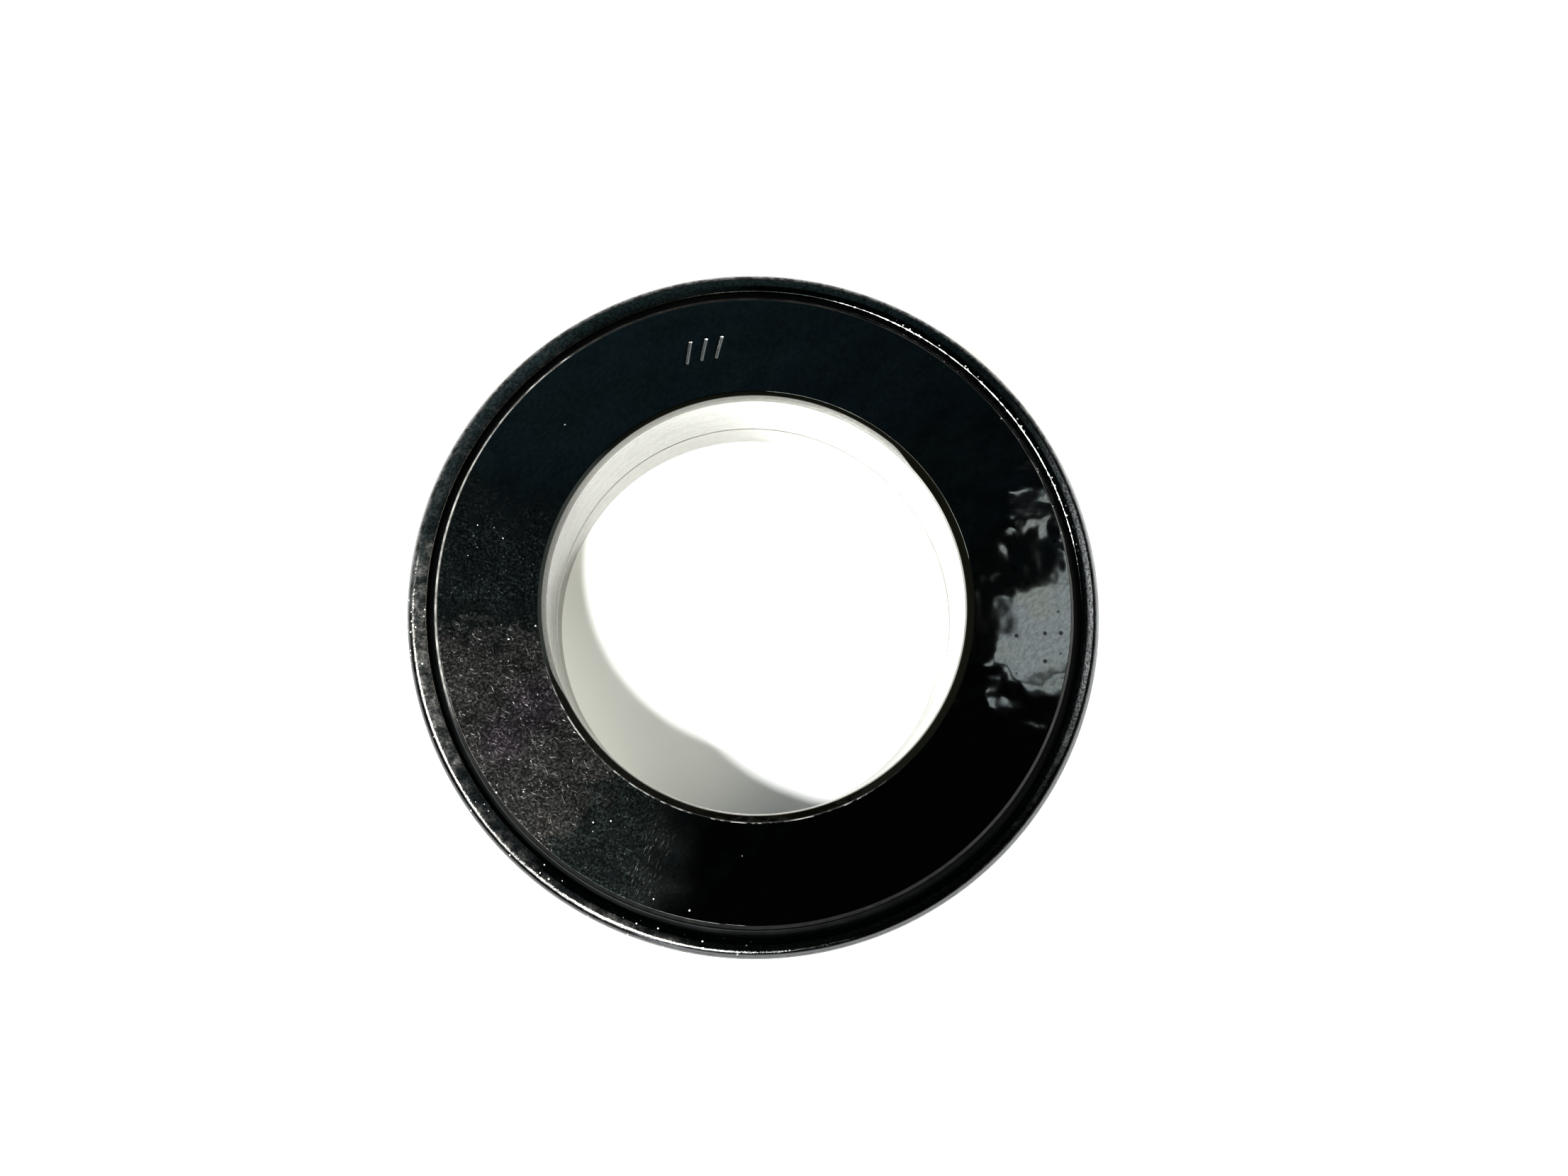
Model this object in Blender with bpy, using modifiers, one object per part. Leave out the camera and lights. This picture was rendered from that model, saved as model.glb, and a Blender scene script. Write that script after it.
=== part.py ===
"""Covered thrust ball bearing, built as it comes apart: two grooved washers, a caged ball set and a cover.

The frame is +Z up along the bearing's axis, with the origin at the centre of the lower face. Every turned
piece is a half section swept round the axis, and lengths are in metres.
"""

import math

import bmesh
import bpy
from mathutils import Matrix, Vector

MM = 0.001

# Driving sizes of the whole bearing
BORE_RADIUS = 22.5 * MM
OUTER_RADIUS = 37.4 * MM
HEIGHT = 18.0 * MM
BALL_DIAMETER = 8.731 * MM  # 11/32 inch
BALL_COUNT = 18
PITCH_RADIUS = 30.2 * MM

# Upper and lower washer
RACE_HEIGHT_LOW = 6.0 * MM  # the lower washer's flat, beside its groove
GROOVE_RADIUS = 0.52 * BALL_DIAMETER
BALL_CLEARANCE = 0.1 * MM  # ball to the bottom of each groove
FACE_RADIUS = 34.3 * MM
FACE_CHAMFER = 0.4 * MM
SHOULDER_RADIUS = 36.1 * MM
SHOULDER_HEIGHT = 16.0 * MM
COLLAR_RADIUS = 24.3 * MM
COLLAR_GAP = 0.3 * MM  # the upper washer's collar runs this far above the lower washer
BORE_CORNER = 0.9 * MM
SMALL_CORNER = 0.3 * MM
HOUSING_CHAMFER = 1.5 * MM

# Pressed cover
SHEET = 0.7 * MM
FIT_GAP = 0.3 * MM
LIP_HEIGHT = 17.1 * MM
LIP_RADIUS = 35.2 * MM
LIP_BEND = 0.9 * MM
CRIMP_LENGTH = 1.1 * MM
CRIMP_ANGLE = math.radians(45)

# Ball cage
CAGE_SHEET = 0.8 * MM
CAGE_INNER_RADIUS = 24.75 * MM
CAGE_OUTER_RADIUS = 35.9 * MM
CAGE_FLANGE = 2.2 * MM
POCKET_CLEARANCE = 0.2 * MM

# Fineness
TURN_STEPS = 72
BALL_SEGMENTS = 16
BALL_RINGS = 8
POCKET_SIDES = 24
SMOOTH_ANGLE = math.radians(32)

BALL_HEIGHT = HEIGHT / 2
BALL_RADIUS = BALL_DIAMETER / 2


def clear_scene():
    for obj in list(bpy.data.objects):
        bpy.data.objects.remove(obj, do_unlink=True)


def new_collection(name):
    collection = bpy.data.collections.new(name)
    bpy.context.scene.collection.children.link(collection)
    return collection


def metal(name, colour, roughness):
    material = bpy.data.materials.new(name)
    material.use_nodes = True
    shader = material.node_tree.nodes["Principled BSDF"]
    shader.inputs["Base Color"].default_value = (*colour, 1)
    shader.inputs["Roughness"].default_value = roughness
    shader.inputs["Metallic"].default_value = 1
    material.diffuse_color = (*colour, 1)
    return material


def arc(centre, radius, start, end, steps):
    """Points on an arc from one angle to another, in degrees, as (radius from the axis, height)."""
    points = []
    for i in range(steps + 1):
        angle = math.radians(start + (end - start) * i / steps)
        points.append((centre[0] + radius * math.cos(angle), centre[1] + radius * math.sin(angle)))
    return points


def turned(name, section, collection, material, closed=True, height=0.0):
    """An object swept round the Z axis from a section that runs down its outer side."""
    mesh = bpy.data.meshes.new(name)
    shape = bmesh.new()
    points = [shape.verts.new((radius, 0, z - height)) for radius, z in section]
    for first, second in zip(points, points[1:]):
        shape.edges.new((first, second))
    if closed:
        shape.edges.new((points[-1], points[0]))
    shape.to_mesh(mesh)
    shape.free()
    obj = bpy.data.objects.new(name, mesh)
    obj.location = (0, 0, height)
    collection.objects.link(obj)
    mesh.materials.append(material)
    screw = obj.modifiers.new("turn", "SCREW")
    screw.steps = TURN_STEPS
    screw.render_steps = TURN_STEPS
    screw.use_merge_vertices = True
    screw.merge_threshold = 0.00001
    return obj


def apply_and_smooth(obj):
    """Turns the modifiers into mesh and shades it smooth between its sharp edges."""
    graph = bpy.context.evaluated_depsgraph_get()
    mesh = bpy.data.meshes.new_from_object(obj.evaluated_get(graph))
    obj.modifiers.clear()
    obj.data = mesh
    mesh.shade_smooth()
    mesh.set_sharp_from_angle(angle=SMOOTH_ANGLE)


def groove(bottom, side):
    """The raceway's arc from the washer's flat to the flat again; side is 1 for the upper washer."""
    flat = BALL_HEIGHT + side * (BALL_HEIGHT - RACE_HEIGHT_LOW)
    centre = (PITCH_RADIUS, bottom - side * GROOVE_RADIUS)
    half_angle = math.degrees(math.acos(side * (flat - centre[1]) / GROOVE_RADIUS))
    middle = 90 * side
    return arc(centre, GROOVE_RADIUS, middle - half_angle, middle + half_angle, 8)


def shaft_washer_section():
    """Upper washer: face, shoulder under the lip, raceway, and the collar that reaches down the bore."""
    flat = HEIGHT - RACE_HEIGHT_LOW
    foot = RACE_HEIGHT_LOW + COLLAR_GAP
    section = [
        (FACE_RADIUS - FACE_CHAMFER, HEIGHT),
        (FACE_RADIUS, HEIGHT - FACE_CHAMFER),
        (FACE_RADIUS, SHOULDER_HEIGHT),
        (SHOULDER_RADIUS - SMALL_CORNER, SHOULDER_HEIGHT),
        (SHOULDER_RADIUS, SHOULDER_HEIGHT - SMALL_CORNER),
        (SHOULDER_RADIUS, flat),
    ]
    section += groove(BALL_HEIGHT + BALL_RADIUS + BALL_CLEARANCE, 1)
    section += [
        (COLLAR_RADIUS, flat),
        (COLLAR_RADIUS, foot),
        (BORE_RADIUS + SMALL_CORNER, foot),
        (BORE_RADIUS, foot + SMALL_CORNER),
    ]
    corner = (BORE_RADIUS + BORE_CORNER, HEIGHT - BORE_CORNER)
    section += arc(corner, BORE_CORNER, 180, 90, 3)
    return section


def housing_washer_section():
    """Lower washer: raceway on top, a wide chamfer for the cover's crimp below."""
    radius = OUTER_RADIUS - SHEET - FIT_GAP
    section = [
        (radius - SMALL_CORNER, RACE_HEIGHT_LOW),
        (radius, RACE_HEIGHT_LOW - SMALL_CORNER),
        (radius, HOUSING_CHAMFER),
        (radius - HOUSING_CHAMFER, 0),
    ]
    corner = (BORE_RADIUS + BORE_CORNER, BORE_CORNER)
    section += arc(corner, BORE_CORNER, 270, 180, 3)
    section += [
        (BORE_RADIUS, RACE_HEIGHT_LOW - SMALL_CORNER),
        (BORE_RADIUS + SMALL_CORNER, RACE_HEIGHT_LOW),
    ]
    section += groove(BALL_HEIGHT - BALL_RADIUS - BALL_CLEARANCE, -1)
    return section


def cover_section():
    """Outer surface of the pressed sheet: the curled lip, the wall, and the crimp under the lower washer."""
    bend = (OUTER_RADIUS - LIP_BEND, LIP_HEIGHT - LIP_BEND)
    section = [(LIP_RADIUS, LIP_HEIGHT)]
    section += arc(bend, LIP_BEND, 90, 0, 5)
    washer_radius = OUTER_RADIUS - SHEET - FIT_GAP
    # The crimp lies along the washer's chamfer, one fit gap and one sheet away from it.
    reach = (FIT_GAP + SHEET) * math.sqrt(2)
    crimp_start = OUTER_RADIUS - (washer_radius - HOUSING_CHAMFER) - reach
    section.append((OUTER_RADIUS, crimp_start))
    fall = CRIMP_LENGTH * math.sin(CRIMP_ANGLE)
    section.append((OUTER_RADIUS - fall, crimp_start - fall))
    return section


def cage_section():
    """Channel of pressed sheet, open downwards, whose web carries the pockets at the balls' height."""
    top = BALL_HEIGHT + CAGE_SHEET / 2
    bottom = top - CAGE_SHEET
    foot = bottom - CAGE_FLANGE
    inner = CAGE_INNER_RADIUS
    outer = CAGE_OUTER_RADIUS
    return [
        (outer, top),
        (outer, foot),
        (outer - CAGE_SHEET, foot),
        (outer - CAGE_SHEET, bottom),
        (inner + CAGE_SHEET, bottom),
        (inner + CAGE_SHEET, foot),
        (inner, foot),
        (inner, top),
    ]


def ball_angle(index):
    return 2 * math.pi * index / BALL_COUNT


def pocket_cutter(collection):
    """One cylinder per ball, standing through the cage's web."""
    mesh = bpy.data.meshes.new("pocket_cutter")
    shape = bmesh.new()
    for index in range(BALL_COUNT):
        turn = Matrix.Rotation(ball_angle(index), 4, "Z")
        place = turn @ Matrix.Translation(Vector((PITCH_RADIUS, 0, 0)))
        bmesh.ops.create_cone(
            shape,
            cap_ends=True,
            segments=POCKET_SIDES,
            radius1=BALL_RADIUS + POCKET_CLEARANCE,
            radius2=BALL_RADIUS + POCKET_CLEARANCE,
            depth=4 * CAGE_SHEET,
            matrix=place,
        )
    shape.to_mesh(mesh)
    shape.free()
    cutter = bpy.data.objects.new("pocket_cutter", mesh)
    cutter.location = (0, 0, BALL_HEIGHT)
    cutter.hide_render = True
    cutter.display_type = "WIRE"
    collection.objects.link(cutter)
    return cutter


def make_cover(collection, material):
    cover = turned("cover", cover_section(), collection, material, closed=False)
    sheet = cover.modifiers.new("sheet", "SOLIDIFY")
    sheet.thickness = SHEET
    sheet.offset = -1
    sheet.use_even_offset = True
    return cover


def make_cage(collection, cutters, material):
    cage = turned("ball_cage", cage_section(), collection, material, height=BALL_HEIGHT)
    pockets = cage.modifiers.new("pockets", "BOOLEAN")
    pockets.operation = "DIFFERENCE"
    pockets.object = pocket_cutter(cutters)
    return cage


def make_balls(collection, material, cage):
    """The ball set. Each ball's own Z axis is its rolling axis, which points straight out from the bearing's axis."""
    mesh = bpy.data.meshes.new("ball")
    shape = bmesh.new()
    bmesh.ops.create_uvsphere(shape, u_segments=BALL_SEGMENTS, v_segments=BALL_RINGS, radius=BALL_RADIUS)
    shape.to_mesh(mesh)
    shape.free()
    mesh.shade_smooth()
    mesh.materials.append(material)
    for index in range(BALL_COUNT):
        ball = bpy.data.objects.new(f"ball_{index + 1:02d}", mesh)
        collection.objects.link(ball)
        ball.parent = cage
        turn = Matrix.Rotation(ball_angle(index), 4, "Z")
        lay_down = Matrix.Rotation(math.pi / 2, 4, "Y")
        ball.matrix_local = turn @ Matrix.Translation(Vector((PITCH_RADIUS, 0, 0))) @ lay_down


def main():
    clear_scene()
    bearing = new_collection("thrust_ball_bearing")
    cutters = new_collection("cutters")
    oiled_steel = metal("oiled_steel", (0.03, 0.03, 0.033), 0.22)
    ground_steel = metal("ground_steel", (0.45, 0.45, 0.44), 0.3)
    pressed_steel = metal("pressed_steel", (0.05, 0.052, 0.05), 0.3)
    cage_steel = metal("cage_steel", (0.5, 0.47, 0.42), 0.35)
    ball_steel = metal("ball_steel", (0.75, 0.75, 0.76), 0.06)
    shaft_washer = turned("shaft_washer", shaft_washer_section(), bearing, oiled_steel)
    housing_washer = turned("housing_washer", housing_washer_section(), bearing, ground_steel)
    cover = make_cover(bearing, pressed_steel)
    cage = make_cage(bearing, cutters, cage_steel)
    for piece in (shaft_washer, housing_washer, cover, cage):
        apply_and_smooth(piece)
    make_balls(bearing, ball_steel, cage)


main()
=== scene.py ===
"""Looks of the covered thrust ball bearing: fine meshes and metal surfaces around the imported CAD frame."""

import math

import bmesh
import bpy
import numpy as np
from mathutils import Matrix, Vector


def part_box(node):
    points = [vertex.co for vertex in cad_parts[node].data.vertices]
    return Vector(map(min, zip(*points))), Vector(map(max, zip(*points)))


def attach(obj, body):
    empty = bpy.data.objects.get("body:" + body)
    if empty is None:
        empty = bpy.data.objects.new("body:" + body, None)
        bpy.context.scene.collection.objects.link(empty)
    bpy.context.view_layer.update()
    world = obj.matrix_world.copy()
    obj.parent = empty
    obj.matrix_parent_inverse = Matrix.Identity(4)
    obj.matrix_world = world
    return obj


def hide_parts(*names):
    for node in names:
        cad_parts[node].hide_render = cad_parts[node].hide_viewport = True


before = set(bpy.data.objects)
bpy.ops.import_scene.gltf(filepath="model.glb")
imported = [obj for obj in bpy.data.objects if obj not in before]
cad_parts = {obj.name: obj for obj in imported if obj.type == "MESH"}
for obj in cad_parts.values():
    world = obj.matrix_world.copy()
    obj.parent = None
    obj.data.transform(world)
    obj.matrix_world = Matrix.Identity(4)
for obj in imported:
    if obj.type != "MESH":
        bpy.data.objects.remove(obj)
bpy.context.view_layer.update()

MM = 0.001

# Sizes that the CAD frame gives
OUTER_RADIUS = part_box("cover")[1].x
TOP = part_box("shaft_washer")[1].z
COVER_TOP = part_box("cover")[1].z
COVER_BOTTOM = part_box("cover")[0].z
HOUSING_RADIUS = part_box("housing_washer")[1].x
HOUSING_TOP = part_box("housing_washer")[1].z
SHOULDER_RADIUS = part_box("shaft_washer")[1].x
COLLAR_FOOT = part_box("shaft_washer")[0].z
CAGE_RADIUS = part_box("ball_cage")[1].x
CAGE_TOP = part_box("ball_cage")[1].z
CAGE_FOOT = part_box("ball_cage")[0].z
BALL_HEIGHT = TOP / 2


def inner_radius(node):
    """Smallest distance of a CAD node's vertices from the bearing's axis."""
    return min(math.hypot(v.co.x, v.co.y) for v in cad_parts[node].data.vertices)


BORE_RADIUS = inner_radius("shaft_washer")
LIP_RADIUS = inner_radius("cover")
CAGE_INNER_RADIUS = inner_radius("ball_cage")
BALL_NODES = sorted(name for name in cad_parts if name.startswith("ball_") and name != "ball_cage")


def centre_of(node):
    low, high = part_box(node)
    return (low + high) / 2


PITCH_RADIUS = centre_of(BALL_NODES[0]).x
BALL_RADIUS = (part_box(BALL_NODES[0])[1].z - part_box(BALL_NODES[0])[0].z) / 2

# Section details, as in the CAD model
FACE_RADIUS = 34.3 * MM
FACE_CHAMFER = 0.4 * MM
SHOULDER_HEIGHT = 16.0 * MM
COLLAR_RADIUS = 24.3 * MM
BORE_CORNER = 0.9 * MM
SMALL_CORNER = 0.3 * MM
HOUSING_CHAMFER = 1.5 * MM
GROOVE_RADIUS = 4.54 * MM
BALL_CLEARANCE = 0.1 * MM
SHEET = 0.7 * MM
LIP_BEND = 0.9 * MM
LIP_DISH = 0.1 * MM  # the pressed lip is a little lower at its inner edge
CRIMP_LENGTH = 1.1 * MM
CAGE_SHEET = 0.8 * MM
POCKET_CLEARANCE = 0.2 * MM

# Generic stamp on the flat face
MARK_RADIUS = 28.7 * MM
MARK_MIDDLE = math.radians(101.6)
MARK_SPACING = 1.7 * MM
MARK_LEAN = 0.45 * MM  # how far each end of a stroke stands to the side
MARK_HALF_HEIGHT = 1.05 * MM
MARK_STROKE = 0.17 * MM
MARK_DEPTH = 0.09 * MM
MARK_STEP_ACROSS = 0.06 * MM
MARK_STEP_ALONG = 0.07 * MM

# Fineness
TURN_STEPS = 288
ARC_STEP = math.radians(9)
GROOVE_STEPS = 20
POCKET_STEPS = 64
BALL_CUTS = 15
SHARP_ANGLE = math.radians(30)
SUPPORT = 0.03 * MM  # an extra loop beside each rounding keeps the flats flat in their shading
SAME_HEIGHT = 0.001 * MM


# --- Turned meshes ---------------------------------------------------------------------------------------------


def unit(vector):
    return vector / np.linalg.norm(vector)


def rounded(corners):
    """A closed outline through (radius, height, rounding) corners, with each rounding a tangent arc."""
    outline = []
    count = len(corners)
    for i in range(count):
        before = np.array(corners[i - 1][:2])
        here = np.array(corners[i][:2])
        after = np.array(corners[(i + 1) % count][:2])
        rounding = corners[i][2]
        if rounding == 0:
            outline.append(here)
            continue
        back = unit(before - here)
        ahead = unit(after - here)
        half = math.acos(max(-1, min(1, float(back @ ahead)))) / 2
        reach = rounding / math.tan(half)
        middle = here + unit(back + ahead) * rounding / math.sin(half)
        first = here + back * reach - middle
        last = here + ahead * reach - middle
        turn = math.atan2(first[0] * last[1] - first[1] * last[0], float(first @ last))
        steps = max(2, math.ceil(abs(turn) / ARC_STEP))
        outline.append(here + back * (reach + SUPPORT))
        for step in range(steps + 1):
            angle = turn * step / steps
            cosine = math.cos(angle)
            sine = math.sin(angle)
            spoke = np.array([first[0] * cosine - first[1] * sine, first[0] * sine + first[1] * cosine])
            outline.append(middle + spoke)
        outline.append(here + ahead * (reach + SUPPORT))
    return outline


def groove_corners(bottom, flat, side):
    """Raceway arc as outline corners; side is 1 for the upper washer and -1 for the lower one."""
    centre = bottom - side * GROOVE_RADIUS
    half = math.acos(side * (flat - centre) / GROOVE_RADIUS)
    corners = []
    for i in range(GROOVE_STEPS + 1):
        angle = side * math.pi / 2 - half + 2 * half * i / GROOVE_STEPS
        radius = PITCH_RADIUS + GROOVE_RADIUS * math.cos(angle)
        corners.append((radius, centre + GROOVE_RADIUS * math.sin(angle), 0))
    return corners


def even_angles():
    return [2 * math.pi * i / TURN_STEPS for i in range(TURN_STEPS)]


def turned(name, outline, angles=None, face_lift=None):
    """A ring mesh from a closed outline, with a vertex for each outline point at each angle.

    face_lift(radius, angle) moves the points of the flat top face up or down.
    """
    angles = angles or even_angles()
    mesh = bpy.data.meshes.new(name)
    shape = bmesh.new()
    rings = []
    for angle in angles:
        cosine = math.cos(angle)
        sine = math.sin(angle)
        ring = []
        for radius, height in outline:
            lift = face_lift(radius, angle) if face_lift and height > TOP - SAME_HEIGHT else 0
            ring.append(shape.verts.new((radius * cosine, radius * sine, height + lift)))
        rings.append(ring)
    count = len(outline)
    for i, ring in enumerate(rings):
        following = rings[(i + 1) % len(rings)]
        for j in range(count):
            k = (j + 1) % count
            shape.faces.new((ring[j], ring[k], following[k], following[j]))
    bmesh.ops.recalc_face_normals(shape, faces=shape.faces)
    shape.to_mesh(mesh)
    shape.free()
    mesh.shade_smooth()
    mesh.set_sharp_from_angle(angle=SHARP_ANGLE)
    obj = bpy.data.objects.new(name, mesh)
    bpy.context.scene.collection.objects.link(obj)
    return obj


# --- The pieces ------------------------------------------------------------------------------------------------


def segment_distance(x, y, start, end):
    """Distance of the point (x, y) from the straight stroke between start and end."""
    along_x = end[0] - start[0]
    along_y = end[1] - start[1]
    share = ((x - start[0]) * along_x + (y - start[1]) * along_y) / (along_x**2 + along_y**2)
    share = max(0, min(1, share))
    return math.hypot(x - start[0] - share * along_x, y - start[1] - share * along_y)


def stamped(radius, angle):
    """Depth of the generic stamp on the face: three plain parallel strokes, leaning, like a tally."""
    across = (angle - MARK_MIDDLE) * MARK_RADIUS
    along = radius - MARK_RADIUS
    if abs(across) > 2 * MARK_SPACING or abs(along) > 2 * MARK_HALF_HEIGHT:
        return 0
    depth = 0.0
    for place in (-1, 0, 1):
        middle = place * MARK_SPACING
        head = (middle - MARK_LEAN, MARK_HALF_HEIGHT)
        foot = (middle + MARK_LEAN, -MARK_HALF_HEIGHT)
        distance = segment_distance(across, along, head, foot)
        depth = max(depth, math.exp(-((distance / MARK_STROKE) ** 2)))
    return -MARK_DEPTH * depth


def mark_angles():
    """Even steps round the ring, with fine ones across the stamp."""
    reach = (MARK_SPACING + MARK_LEAN + 4 * MARK_STROKE) / MARK_RADIUS
    fine_step = MARK_STEP_ACROSS / MARK_RADIUS
    count = round(2 * reach / fine_step)
    fine = [MARK_MIDDLE - reach + 2 * reach * i / count for i in range(count + 1)]
    coarse = [a for a in even_angles() if not fine[0] - fine_step < a < fine[-1] + fine_step]
    return sorted(coarse + fine)


def face_loops(inner, outer):
    """Outline points along the flat face, close together under the stamp."""
    low = MARK_RADIUS - 1.6 * MARK_HALF_HEIGHT
    high = MARK_RADIUS + 1.6 * MARK_HALF_HEIGHT
    count = round((high - low) / MARK_STEP_ALONG)
    radii = [inner + (low - inner) * i / 4 for i in range(1, 4)]
    radii += [low + (high - low) * i / count for i in range(count + 1)]
    radii += [high + (outer - high) * i / 3 for i in range(1, 3)]
    return [np.array((radius, TOP)) for radius in radii]


def make_shaft_ring():
    flat = TOP - HOUSING_TOP
    edge = 0.08 * MM
    corners = [
        (FACE_RADIUS - FACE_CHAMFER, TOP, edge),
        (FACE_RADIUS, TOP - FACE_CHAMFER, edge),
        (FACE_RADIUS, SHOULDER_HEIGHT, 0.3 * MM),
        (SHOULDER_RADIUS, SHOULDER_HEIGHT, SMALL_CORNER),
        (SHOULDER_RADIUS, flat, 0.15 * MM),
    ]
    corners += groove_corners(BALL_HEIGHT + BALL_RADIUS + BALL_CLEARANCE, flat, 1)
    corners += [
        (COLLAR_RADIUS, flat, 0.3 * MM),
        (COLLAR_RADIUS, COLLAR_FOOT, 0.1 * MM),
        (BORE_RADIUS, COLLAR_FOOT, SMALL_CORNER),
        (BORE_RADIUS, TOP - BORE_CORNER, 0.25 * MM),
        (BORE_RADIUS + BORE_CORNER, TOP, 0.12 * MM),
    ]
    outline = rounded(corners)
    outline += face_loops(outline[-1][0], outline[0][0])
    ring = turned("shaft_ring", outline, mark_angles(), stamped)
    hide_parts("shaft_washer")
    return ring


def make_housing_ring():
    corners = [
        (HOUSING_RADIUS, HOUSING_TOP, SMALL_CORNER),
        (HOUSING_RADIUS, HOUSING_CHAMFER, 0.15 * MM),
        (HOUSING_RADIUS - HOUSING_CHAMFER, 0, 0.15 * MM),
        (BORE_RADIUS, 0, BORE_CORNER),
        (BORE_RADIUS, HOUSING_TOP, SMALL_CORNER),
    ]
    corners += groove_corners(BALL_HEIGHT - BALL_RADIUS - BALL_CLEARANCE, HOUSING_TOP, -1)
    ring = turned("housing_ring", rounded(corners))
    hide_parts("housing_washer")
    return ring


def make_cover_shell():
    slope = math.sqrt(0.5)
    end_radius = OUTER_RADIUS - CRIMP_LENGTH * slope
    crimp_start = COVER_BOTTOM + CRIMP_LENGTH * slope
    inner = OUTER_RADIUS - SHEET
    # The sheet's inner side keeps its thickness along the crimp's slope.
    inner_start = crimp_start + SHEET * (math.sqrt(2) - 1)
    corners = [
        (LIP_RADIUS, COVER_TOP - LIP_DISH, 0.2 * MM),
        (LIP_RADIUS + 0.85 * MM, COVER_TOP, 0),
        (OUTER_RADIUS, COVER_TOP, LIP_BEND),
        (OUTER_RADIUS, crimp_start, 0.8 * MM),
        (end_radius, COVER_BOTTOM, 0.12 * MM),
        (end_radius - SHEET * slope, COVER_BOTTOM + SHEET * slope, 0.12 * MM),
        (inner, inner_start, 0.2 * MM),
        (inner, COVER_TOP - SHEET, 0.25 * MM),
        (LIP_RADIUS, COVER_TOP - SHEET, 0.2 * MM),
    ]
    shell = turned("cover_shell", rounded(corners))
    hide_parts("cover")
    return shell


def ball_turn(index):
    return Matrix.Rotation(2 * math.pi * index / len(BALL_NODES), 4, "Z")


def make_cage_ring():
    outer_inside = CAGE_RADIUS - CAGE_SHEET
    inner_inside = CAGE_INNER_RADIUS + CAGE_SHEET
    under = CAGE_TOP - CAGE_SHEET
    edge = 0.12 * MM
    corners = [
        (CAGE_RADIUS, CAGE_TOP, 0.5 * MM),
        (CAGE_RADIUS, CAGE_FOOT, edge),
        (outer_inside, CAGE_FOOT, edge),
        (outer_inside, under, edge),
        (inner_inside, under, edge),
        (inner_inside, CAGE_FOOT, edge),
        (CAGE_INNER_RADIUS, CAGE_FOOT, edge),
        (CAGE_INNER_RADIUS, CAGE_TOP, 0.5 * MM),
    ]
    ring = turned("cage_ring", rounded(corners))
    mesh = bpy.data.meshes.new("pocket_cutter")
    shape = bmesh.new()
    for index in range(len(BALL_NODES)):
        place = ball_turn(index) @ Matrix.Translation(Vector((PITCH_RADIUS, 0, BALL_HEIGHT)))
        pocket = BALL_RADIUS + POCKET_CLEARANCE
        bmesh.ops.create_cone(
            shape,
            cap_ends=True,
            segments=POCKET_STEPS,
            radius1=pocket,
            radius2=pocket,
            depth=4 * CAGE_SHEET,
            matrix=place,
        )
    shape.to_mesh(mesh)
    shape.free()
    cutter = bpy.data.objects.new("pocket_cutter", mesh)
    bpy.context.scene.collection.objects.link(cutter)
    pockets = ring.modifiers.new("pockets", "BOOLEAN")
    pockets.operation = "DIFFERENCE"
    pockets.object = cutter
    graph = bpy.context.evaluated_depsgraph_get()
    ring.data = bpy.data.meshes.new_from_object(ring.evaluated_get(graph))
    ring.modifiers.clear()
    ring.data.shade_smooth()
    ring.data.set_sharp_from_angle(angle=SHARP_ANGLE)
    bpy.data.objects.remove(cutter)
    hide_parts("ball_cage")
    return ring


def make_balls():
    """Balls made from one cube's grid spread over the sphere, so that no pole shows."""
    mesh = bpy.data.meshes.new("steel_ball")
    shape = bmesh.new()
    bmesh.ops.create_cube(shape, size=2)
    bmesh.ops.subdivide_edges(shape, edges=shape.edges[:], cuts=BALL_CUTS, use_grid_fill=True)
    for vertex in shape.verts:
        # Even spacing: the tangent map spreads the cube's grid evenly over the sphere.
        spread = Vector([math.tan(c * math.pi / 4) for c in vertex.co])
        vertex.co = spread.normalized() * BALL_RADIUS
    shape.to_mesh(mesh)
    shape.free()
    mesh.shade_smooth()
    balls = []
    for index, node in enumerate(BALL_NODES):
        ball = bpy.data.objects.new(f"steel_{node}", mesh)
        ball.matrix_world = Matrix.Translation(centre_of(node)) @ ball_turn(index)
        bpy.context.scene.collection.objects.link(ball)
        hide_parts(node)
        balls.append(ball)
    return balls


# --- Materials -------------------------------------------------------------------------------------------------
#
# Places on the surfaces are in millimetres, worked out from the frame's sizes. Sectors of the rings are
# (from, to, fade) in degrees anticlockwise from the -X side. Colours are linear.

FACE_EDGE_AT = (FACE_RADIUS - FACE_CHAMFER) / MM
BORE_AT = BORE_RADIUS / MM
BORE_EDGE_AT = (BORE_RADIUS + BORE_CORNER) / MM
TOP_AT = TOP / MM
LIP_AT = LIP_RADIUS / MM
OUTER_AT = OUTER_RADIUS / MM
COVER_TOP_AT = COVER_TOP / MM

# The bore: ground steel, with painted shade that dims it in one sector and painted light that brightens it
# elsewhere
BORE_STEEL = ((0.36, 0.36, 0.335), (0.46, 0.46, 0.43))
BORE_PAINTED_SHADE_SECTOR = (-14, 60, 34)
BORE_PAINTED_LIGHT_AND_SHADE = (1.12, 0.7)

# The shaft washer's face: oil over dark steel, dried to a haze on the side that was handled, with painted
# reflection, painted shade, painted highlight and painted glints at its edges
OIL = ((0.038, 0.044, 0.045), (0.039, 0.0445, 0.041))
PIT = (0.006, 0.007, 0.007)
DRIED = (0.031, 0.03, 0.0275)
DRIED_PURPLE = (0.033, 0.0275, 0.031)
HALF_DRIED = (0.03, 0.041, 0.038)
SPECK = (0.6, 0.6, 0.57)
FLECK_GLINT = (0.85, 0.85, 0.8)
EDGE_LINE = (0.007, 0.0075, 0.0075)
RECESS_PAINTED_SHADE = (0.005, 0.0055, 0.0055)
CHAMFER_PAINTED_REFLECTION = (1, 1, 0.97)
BORE_CORNER_PAINTED_SHADE = ((0.0065, 0.0065, 0.0045), (0.034, 0.04, 0.037))
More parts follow.
